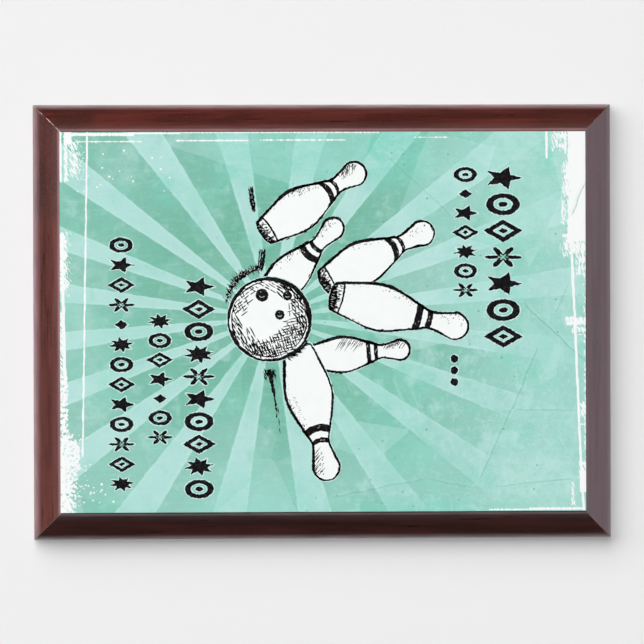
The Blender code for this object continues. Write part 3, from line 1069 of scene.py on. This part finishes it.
def draw_pin_neck(ink, pin, look):
    """A dark patch where the shaded side runs into the neck."""
    start, stop = look.bands[0][0] - 0.1, look.bands[1][1] + 0.02
    outer, inner = [], []
    for step in range(19):
        share = start + (stop - start) * step / 18
        depth = 0.55 * math.sin(math.pi * step / 18) * look.reach + abs(ink.rough(0.18))
        point = pin.at(share, look.shade)
        toward = (pin.at(share, 0) - point).normalized()
        outer.append(point - toward * 0.18)
        inner.append(point + toward * (0.12 + depth))
    ink.band(outer, inner, INK_BLACK, 3)


def draw_pin_bands(ink, pin, look):
    """Two black bands at the neck, each with a bare fleck or two."""
    for start, stop in look.bands:
        first = [point + pin.axis * ink.rough(0.003) for point in pin.arc(start, look.bow, -0.97, 0.97, 12)]
        last = [point + pin.axis * ink.rough(0.003) for point in pin.arc(stop, look.bow, -0.97, 0.97, 12)]
        ink.band(first, last, INK_BLACK, 3)
        for _ in range(2):
            across = ink.pick(-0.6, 0.6)
            bulge = look.bow * (1 - across * across) * pin_half_width(start, pin.plump)
            share = ink.pick(start + 0.012, stop - 0.012)
            place = pin.at(share, across) + pin.axis * bulge
            ink.tick(place, place + pin.across * ink.pick(0.4, 0.8), 0.13, INK_WHITE, 4)


def draw_pin_lines(ink, pin, look, start, stop, number):
    """Longer slanted strokes in from the shaded side."""
    toward = -pin.across * look.shade
    for index in range(number):
        share = start + (stop - start) * index / number + ink.rough(0.006)
        place = pin.at(share, look.shade * 0.93)
        reach = pin_half_width(share, look.plump) * pin.length * ink.pick(0.35, 0.85)
        ink.tick(place, place + (toward - pin.run * 0.8) * reach, 0.3)


def draw_pin_hatching(ink, pin, look):
    """Flicks on the shaded side: a few low down, a cluster before the neck, and strokes on the head."""
    toward = -pin.across * look.shade
    for start, stop, number in look.lines:
        draw_pin_lines(ink, pin, look, start, stop, number)
    groups = ((0.1, 0.4, 0.35, 0.14, 0.35), (0.34, 0.6, 1, 0.34, 0.75), (0.79, 0.96, 0.8, 0.75, 1))
    for start, stop, number, spread, length in groups:
        for _ in range(round(look.flicks * number)):
            share = ink.pick(start, stop)
            depth = 0.06 + spread * ink.random.random() ** 1.5
            place = pin.at(share, look.shade * (1 - depth))
            reach = look.reach * length * ink.pick(0.5, 1.5)
            lean = pin.run * ink.pick(-0.7, -0.1) + toward * 0.75
            ink.tick(place, place + lean * reach, 0.27)


def draw_ball(front, base, centre, radius, seed, materials):
    """The ball: an uneven outline, three finger holes, and pen hatching that turns with its sides."""
    ink = Ink("picture_ball", front, base, seed)
    centre = Vector(centre)
    steps = 150

    def polar(angle, distance):
        return centre + direction(angle) * distance

    def circle(distance, roughness=0):
        return [polar(2 * math.pi * step / steps, distance + ink.rough(roughness)) for step in range(steps)]

    ink.area(circle(radius + 0.25), INK_HALO, 1)
    ink.area(circle(radius - 0.2), INK_WHITE, 2)
    rim = []
    for step in range(steps):
        angle = 2 * math.pi * step / steps
        heavy = max(0, math.cos(angle - math.radians(42))) ** 2
        thick = 1.02 + 0.68 * heavy + 0.2 * math.sin(5 * angle + 1) + 0.14 * math.sin(11 * angle)
        rim.append(polar(angle, radius - thick + ink.rough(0.16)))
    ink.band(circle(radius, 0.13), rim, INK_BLACK, 3, closed=True)
    second_lines = ((150, 215, 1.6), (225, 300, 1.75), (20, 75, 2.3), (96, 140, 1.6), (310, 352, 1.8))
    for start, stop, inset in second_lines:
        path = [polar(math.radians(start + (stop - start) * step / 24), radius - inset) for step in range(25)]
        ink.stroke(path, 0.42, roughness=0.14, taper=0.2)
    for step in range(34):
        angle = math.radians(-66 + 34 * step / 34 + ink.rough(1.2))
        start = polar(angle, radius - 0.2)
        stop = polar(angle + math.radians(ink.pick(2, 7)), radius + ink.pick(0.5, 1.7))
        ink.tick(start, stop, 0.42)
    holes = (((-21.5, 9.4), 2.25), ((-12.6, 9.2), 1.65), ((-15.3, 2.5), 1.7))
    hatch_ball(ink, centre, radius, holes)
    for place, size in holes:
        draw_hole(ink, Vector(place), size)
    ink.finish(materials)


def hatch_ball(ink, centre, radius, holes):
    """Sets of parallel broken strokes; each set says how strongly it shows at a place on the ball."""

    def near_rim(place, inner, first, last):
        """Strong close to the rim between two angles."""
        angle = math.degrees(math.atan2(place.y, place.x)) % 360
        if (angle - first) % 360 > (last - first) % 360:
            return 0
        return max(0, (place.length / radius - inner) / (1 - inner))

    def low_right(place):
        return 2.7 * (0.62 * place.x - 0.785 * place.y) / radius - 0.58

    sets = (
        (-72, 0.92, 0.38, 1.5, 1, None),
        (14, 0.94, 0.36, 1.5, 1, None),
        (-52, 1.3, 0.32, 1.2, 1.1, None),
        (-60, 1.2, 0.42, 1.5, 2.2, (0.42, 186, 268)),
        (-74, 1.1, 0.32, 1.2, 2, (0.52, 200, 282)),
        (-56, 0.9, 0.42, 1, 2.6, (0.6, 172, 262)),
        (-48, 0.85, 0.46, 1.3, 2.4, (0.52, 350, 72)),
        (-50, 0.55, 0.5, 1, 3.2, (0.7, 40, 66)),
        (-84, 1.05, 0.32, 1.2, 1.7, (0.4, 320, 50)),
        (12, 1.25, 0.28, 1.2, 1.3, (0.4, 330, 40)),
        (-32, 0.8, 0.38, 1, 2.4, (0.66, 66, 122)),
        (38, 1, 0.34, 1, 2, (0.56, 112, 170)),
        (-64, 1.1, 0.3, 1, 1.6, (0.52, 124, 180)),
    )
    for degrees, spacing, width, stretch, strength, rim in sets:
        run = direction(math.radians(degrees))
        aside = Vector((-run.y, run.x))
        for row in range(round(-radius / spacing), round(radius / spacing) + 1):
            along = -radius + ink.pick(0, 1)
            while along < radius:
                dash = ink.pick(1.2, 3.2) * stretch
                place = aside * (row * spacing + ink.rough(0.12)) + run * along
                stop = place + run * dash + aside * ink.rough(0.15)
                along += dash + ink.pick(0.05, 0.4)
                middle = (place + stop) / 2
                if max(place.length, stop.length) > radius - 0.7:
                    continue
                if any((middle + centre - Vector(hole)).length < size + 0.6 for hole, size in holes):
                    continue
                shown = strength * (near_rim(middle, *rim) if rim else low_right(middle))
                if ink.random.random() < min(0.95, shown):
                    line = [centre + place.lerp(stop, share / 4) for share in range(5)]
                    ink.stroke(line, width * ink.pick(0.8, 1.2), roughness=0.06, taper=0.15)


def draw_hole(ink, place, size):
    ink.area([place + point * (size + ink.rough(0.12)) for point in round_outline(28)], INK_BLACK, 4)
    glint = widened([direction(turn) for turn in (3.5, 4.1, 4.7, 5.3, 5.9)], 0.42 * size, 0.336 * size)
    ink.stroke([place + point for point in glint], 0.16, INK_WHITE, 5, 0.03)
    spot = place + Vector((-0.25, 0.55)) * size
    ink.tick(spot, spot + Vector((0.3, -0.1)), 0.2, INK_WHITE, 5)


def draw_spatter(ink):
    """White drops thrown from the left edge, each cluster with its middle, spread, number and sizes."""
    clusters = (
        ((-85.4, 55.5), (1.3, 4.2), 60, (0.09, 0.26)),
        ((-72.5, 51), (9, 6.5), 24, (0.12, 0.44)),
        ((-85.4, -53.5), (1.9, 7), 60, (0.12, 0.38)),
        ((-79.5, -59.5), (3, 4), 12, (0.12, 0.46)),
    )
    low, high = corners_of("printed_plate")
    for middle, spread, number, sizes in clusters:
        for _ in range(number):
            x = ink.random.gauss(middle[0], spread[0])
            z = ink.random.gauss(middle[1], spread[1])
            radius = ink.pick(*sizes)
            if not (low[0] + 1 < x < high[0] - 1 and low[2] + 1 < z < high[2] - 1):
                continue
            drop = [point * radius + Vector((point.x * ink.rough(0.04), point.y * ink.rough(0.04)))
                    for point in round_outline(10)]
            ink.area([Vector((x, z)) + point for point in drop], INK_WHITE, 1)


def draw_marks(front, materials):
    """Loose pen strokes round the ball that show where things flew from."""
    ink = Ink("picture_marks", front, 0, 41)
    draw_spatter(ink)
    for offset, width in ((-0.75, 0.5), (-0.2, 0.62), (0.45, 0.75)):
        path = [(-25.2 + offset, 47.4), (-25 + offset, 44.5), (-24.6 + offset, 41.5)]
        path.append((-24.1 + offset * 0.4, 38.4))
        ink.stroke(resample(path, MARK_SPACING, False), width, roughness=0.18, taper=0.12)
    arc = [(-34, 6.6), (-33.4, 9.6), (-32, 12.6), (-30, 15.4), (-27.2, 17.2), (-24.4, 18.3)]
    arc = resample(arc + [(-22.4, 18.9)], 0.5, False)
    ink.stroke(arc, lambda share: 0.34 + 1.5 * math.sin(math.pi * min(1, share * 0.8)), roughness=0.42)
    for offset, width in ((-1, 0.5), (-0.25, 0.56), (0.6, 0.95)):
        path = [(x + offset, z) for x, z in ((-22.3, 17.9), (-21.7, 20.2), (-21.4, 22.9), (-21.1, 25.6))]
        ink.stroke(resample(path, MARK_SPACING, False), width, roughness=0.16, taper=0.1)
    for point in arc[3:]:
        for drift, across, upward in ((0.7, (-1.1, 0.3), (0.5, 1.9)), (0.8, (0.2, 1.2), (-1.5, -0.3))):
            for _ in range(2):
                start = point + ink.jog(drift)
                ink.tick(start, start + ink.within(across, upward), 0.24)
        start = point + ink.jog(0.5)
        ink.tick(start, start + ink.jog(0.8), 0.15, INK_WHITE, 4)
    fall = [(-19.2, -16.6), (-18.2, -20.5), (-17.4, -25), (-16.8, -29), (-16.4, -33.4)]
    fall = resample(fall, MARK_SPACING, False)
    ink.stroke(fall, lambda share: 1.5 * (1 - share) ** 1.3 + 0.24, roughness=0.24)
    for _ in range(34):
        start = ink.within((-21.6, -17.2), (-19, -15.8))
        ink.tick(start, start + ink.within((0.2, 1), (-2.6, -1)), 0.3)
    ink.tick((-16.1, -29.5), (-15.9, -32.6), 0.34)
    ink.tick((-15.8, -33.4), (-15.5, -36.4), 0.34)
    ink.tick((-15.5, -37), (-15.2, -38.9), 0.34)
    ink.finish(materials)


# ---------------------------------------------------------------- ornaments


def round_outline(steps):
    return [direction(2 * math.pi * step / steps) for step in range(steps)]


def star(points, inner_share, turn):
    reaches = (1, inner_share) * points
    return [direction(turn + math.pi * step / points) * reach for step, reach in enumerate(reaches)]


def rosette(petals):
    outline = []
    for step in range(60):
        angle = 2 * math.pi * step / 60
        outline.append(direction(angle) * (0.62 + 0.38 * math.cos(petals * angle)))
    return outline


def widened(outline, wide, tall):
    return [Vector((point.x * wide, point.y * tall)) for point in outline]


def uneven(ink, outline, place, roughness=0.16):
    """An outline carried to its place with an uneven printed edge."""
    return [place + point + ink.jog(roughness) for point in outline]


def solid_ornament(ink, outline, place):
    dense = resample(outline, ORNAMENT_SPACING)
    ink.area([place + point for point in grown(dense, HALO_REACH)], INK_HALO, 1)
    ink.area(uneven(ink, dense, place), INK_BLACK, 2)


def open_ornament(ink, outline, place, hollow):
    """A hollow ornament: the outline with a smaller copy of itself left bare."""
    dense = resample(outline, ORNAMENT_SPACING)
    outer = uneven(ink, dense, place)
    inner = uneven(ink, [point * hollow for point in dense], place, 0.14)
    halo_out = [place + point for point in grown(dense, HALO_REACH)]
    halo_in = [place + point * (hollow * 0.86) for point in dense]
    ink.band(halo_out, halo_in, INK_HALO, 1, closed=True)
    ink.band(outer, inner, INK_BLACK, 2, closed=True)


ORNAMENT_FLATNESS = 0.58
LOZENGE = round_outline(4)
# The parts of each ornament: outline, how wide and how tall for its size, and the share left bare inside
ORNAMENTS = {
    "star": ((star(5, 0.46, 0), 1, 1.06 * ORNAMENT_FLATNESS, 0),),
    "lozenge": (
        (LOZENGE, 1, ORNAMENT_FLATNESS, 0.54),
        (LOZENGE, 0.27, 0.25 * ORNAMENT_FLATNESS, 0),
    ),
    "ring": (
        (round_outline(30), 0.86, 0.96 * ORNAMENT_FLATNESS, 0.58),
        (round_outline(14), 0.24, 0.24 * ORNAMENT_FLATNESS, 0),
    ),
    "rosette": ((rosette(6), 0.96, ORNAMENT_FLATNESS, 0.3),),
    "burst": ((star(8, 0.52, 0.2), 0.92, ORNAMENT_FLATNESS, 0),),
    "diamond": ((LOZENGE, 0.5, 0.6 * ORNAMENT_FLATNESS, 0),),
    "dot": ((round_outline(18), 0.34, 0.34, 0),),
}


def ornament(ink, kind, place, size):
    """One ornament; size is its half width."""
    for outline, wide, tall, hollow in ORNAMENTS[kind]:
        outline = widened(outline, size * wide, size * tall)
        if hollow:
            open_ornament(ink, outline, place, hollow)
        else:
            solid_ornament(ink, outline, place)


def draw_ornament_rows(front, materials):
    """Upright columns, each with its middle line, top, step, size and kinds of ornament."""
    rows = (
        (63, 50.2, 9.25, 6.9, "star ring lozenge rosette star ring lozenge"),
        (49.8, 51.4, 6.75, 4.7, "ring diamond star lozenge burst ring rosette"),
        (45.8, -13, 4.1, 4, "dot dot dot"),
        (-43.6, 12.4, 7.85, 5.9, "star lozenge ring burst rosette star ring lozenge burst ring"),
        (-57.2, 0.4, 6.75, 4.7, "burst ring lozenge star diamond ring rosette"),
        (-70.6, 27, 6.95, 4.8, "ring star lozenge rosette diamond burst ring "
                               "lozenge star ring rosette lozenge burst"),
    )
    for number, (middle, top, step, size, kinds) in enumerate(rows, start=1):
        ink = Ink(f"ornament_row_{number}", front, 0, 60 + number)
        for index, kind in enumerate(kinds.split()):
            ornament(ink, kind, Vector((middle, top - step * index)), size)
        ink.finish(materials)


def draw_picture():
    front = -corners_of("printed_plate")[0][1]
    materials = ink_materials()
    draw_marks(front, materials)
    thin_bands = ((0.575, 0.615), (0.648, 0.685))
    slim_bands = ((0.6, 0.652), (0.688, 0.73))
    low_bands = ((0.61, 0.658), (0.7, 0.735))
    two_sets = ((0.36, 0.58, 12), (0.78, 0.98, 11))
    pins = (
        (0, (-20.7, 31.2), (14.4, 54), PinLook(foot=0.72, flicks=70, lines=((0.84, 0.98, 9),))),
        (0, (-21.6, 6.2), (6.1, 35.4), PinLook(0.93, bow=-0.3, foot=0, flicks=34)),
        (0, (0.2, 13.7), (38.4, 32.8), PinLook(flicks=14)),
        (4, (3.5, 9), (50.6, -2.8), PinLook(0.94, 1, 0.08, 1, slim_bands, flicks=22)),
        (0, (-5.4, -12.4), (30.2, -9.6), PinLook(0.98, 1, 0, 0, thin_bands, flicks=24, lines=two_sets)),
        (4, (-9, -9), (2, -55.3), PinLook(0.97, -1, -0.3, 0, low_bands, lines=((0.8, 0.97, 9),))),
    )
    for number, (base, foot, tip, look) in enumerate(pins, start=1):
        draw_pin(f"picture_pin_{number}", front, base, foot, tip, 10 + number, materials, look)
    draw_ball(front, 8, (-18.85, 0.95), 14.8, 31, materials)
    draw_ornament_rows(front, materials)


# ---------------------------------------------------------------- back and inside


def dress(node, material):
    """Gives a CAD node that stays its finished material."""
    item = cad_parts[node]
    item.data.materials.clear()
    item.data.materials.append(material)


def dress_frame():
    dress("printed_plate", print_material())
    dress("backing_sheet", paper_material())
    dress("board_core", fibreboard_material())
    tape = tape_material()
    for row in ("upper", "middle", "lower"):
        dress(f"adhesive_strip_{row}", tape)
    steel = steel_material("plated_steel", (0.6, 0.6, 0.58), (0.4, 0.4, 6))
    zinc = steel_material("bright_zinc", (0.72, 0.72, 0.7), (3, 3, 3))
    for hanger, screws in (("landscape", ("upper", "lower")), ("portrait", ("inner", "outer"))):
        dress(f"hanger_{hanger}", steel)
        for screw in screws:
            dress(f"hanger_{hanger}_screw_{screw}", zinc)


# ---------------------------------------------------------------- stage, light, camera


def choose_shader(tree, output, choice, first, second):
    """Shows the first shader where a node's output is 0 and the second where it is 1."""
    tree.nodes.clear()
    kind, name = choice
    inputs = {0: add_node(tree, kind, {}).outputs[name]}
    for number, (kind, colour) in enumerate((first, second), start=1):
        inputs[number] = add_node(tree, kind, {"Color": (*colour, 1)}).outputs[0]
    chosen = add_node(tree, "ShaderNodeMixShader", inputs)
    add_node(tree, output, {"Surface": chosen.outputs[0]})


def wall_material():
    """Plain pale matt surface that shows on its front only, so the back of the plaque can be looked at."""
    material = bpy.data.materials.new("stage_pale")
    material.use_nodes = True
    matt = ("ShaderNodeBsdfDiffuse", (0.8, 0.8, 0.8))
    clear = ("ShaderNodeBsdfTransparent", (1, 1, 1))
    from_behind = ("ShaderNodeNewGeometry", "Backfacing")
    choose_shader(material.node_tree, "ShaderNodeOutputMaterial", from_behind, matt, clear)
    return material


def floor_material():
    """Pale matt floor with a little glow, since few of the lights reach it."""
    surface = Surface("stage_floor_pale", roughness=0.9, specular=0.2)
    surface.set("Base Color", (0.62, 0.62, 0.62))
    surface.set("Emission Color", (1, 1, 1))
    surface.set("Emission Strength", 0.38)
    return surface.material


def make_stage(low, high):
    """A wall just behind the plaque, open where the plaque covers it, and a floor well below."""
    bm = bmesh.new()

    def rectangle(left, right, bottom, top):
        corners = ((left, bottom), (right, bottom), (right, top), (left, top))
        return [bm.verts.new((x, WALL_Y, z)) for x, z in corners]

    inset = OPENING_INSET
    inner = rectangle(low.x + inset, high.x - inset, low.z + inset, high.z - inset)
    outer = rectangle(-STAGE_REACH, STAGE_REACH, FLOOR_Z, STAGE_REACH)
    for index, after in in_a_ring(outer):
        bm.faces.new((outer[index], outer[after], inner[after], inner[index]))
    wall = collect("stage_wall", mesh_from(bm, "stage_wall"), [wall_material()])
    bm = bmesh.new()
    reach = STAGE_REACH
    corners = ((-reach, WALL_Y), (-reach, -reach), (reach, -reach), (reach, WALL_Y))
    bm.faces.new([bm.verts.new((x, y, FLOOR_Z)) for x, y in corners])
    floor = collect("stage_floor", mesh_from(bm, "stage_floor"), [floor_material()])
    floor.visible_glossy = False
    floor.visible_diffuse = False


def add_light(name, kind, place, target, energy):
    light = bpy.data.lights.new(name, kind)
    light.energy = energy
    item = collect(name, light)
    item.location = place
    item.rotation_euler = (Vector(target) - item.location).to_track_quat("-Z", "Y").to_euler()
    return item


def add_panel(name, place, target, size, radiance):
    """A flat rectangular light."""
    item = add_light(name, "AREA", place, target, radiance * math.pi * size[0] * size[1])
    item.data.shape = "RECTANGLE"
    item.data.size, item.data.size_y = size
    return item


def add_softbox(name, slopes, distance, radiance, glossy=False):
    """A panel parallel to the wall; slopes are its left, right, low and high edges over its distance."""
    left, right, low, high = [slope * distance for slope in slopes]
    middle_x, middle_z = (left + right) / 2, (low + high) / 2
    place = (middle_x, -distance, middle_z)
    item = add_panel(name, place, (middle_x, 0, middle_z), (right - left, high - low), radiance)
    item.visible_glossy = glossy


def add_card(name, place, size, radiance, diffuse=False):
    """A panel turned to the plaque; unless diffuse, only gloss shows it, like a reflector card."""
    item = add_panel(name, place, (0, 0, 0), size, radiance)
    item.visible_diffuse = diffuse
    return item


def make_lights():
    front = add_light("light_front", "SUN", (0, -SUN_DISTANCE, 0), (0, 0, 0), 1.11)
    front.data.angle = math.radians(2)
    front.visible_glossy = False
    add_softbox("light_upper_left", (-2.2, 0, 0, 1.8), 6, 2.1)
    add_softbox("light_left_middle", (-1.1, 0, 0.09, 0.8), 5.9, 1.3, glossy=True)
    add_softbox("light_left_near", (-0.5, 0, 0.09, 0.35), 5.8, 1.4)
    add_softbox("light_above", (-0.03, 0.05, 0.08, 0.72), 5.7, 9)
    card = add_card("card_right", (2.2, -0.64, 0), (1, 2.6), 2)
    card.data.color = (0.96, 0.93, 1)
    add_card("light_behind", (-1.1, 1.9, 1.3), (1.6, 1.6), 4.5, diffuse=True)
    add_card("card_behind", (1.7, 1.8, -0.6), (2.6, 2.6), 0.9)
    add_card("card_behind_low", (0, 2.2, -1.2), (3, 1.4), 0.7)


def make_world():
    """Pale to the camera and dark to everything else."""
    world = bpy.data.worlds.new("studio")
    bpy.context.scene.world = world
    world.use_nodes = True
    mirrored = ("ShaderNodeBackground", (0.04, 0.04, 0.042))
    shown = ("ShaderNodeBackground", (0.855, 0.855, 0.855))
    to_camera = ("ShaderNodeLightPath", "Is Camera Ray")
    choose_shader(world.node_tree, "ShaderNodeOutputWorld", to_camera, mirrored, shown)
    world.cycles_visibility.diffuse = False


def make_camera():
    camera = collect("camera", bpy.data.cameras.new("camera"))
    camera.data.lens = CAMERA_LENS
    camera.data.sensor_width = 36
    camera.data.clip_start = 0.05
    aside = math.sin(CAMERA_AZIMUTH) * math.cos(CAMERA_ELEVATION)
    out = math.cos(CAMERA_AZIMUTH) * math.cos(CAMERA_ELEVATION)
    back = Vector((aside, -out, math.sin(CAMERA_ELEVATION)))
    camera.location = Vector(CAMERA_TARGET) * MM + back * CAMERA_DISTANCE
    turn = (-back).to_track_quat("-Z", "Y").to_matrix() @ Matrix.Rotation(CAMERA_ROLL, 3, "Z")
    camera.rotation_euler = turn.to_euler()
    bpy.context.scene.camera = camera
    bpy.context.scene.view_settings.view_transform = "Standard"


make_camera()
make_world()
make_stage(*CAD_BOX)
make_lights()
make_edges()
dress_frame()
draw_picture()
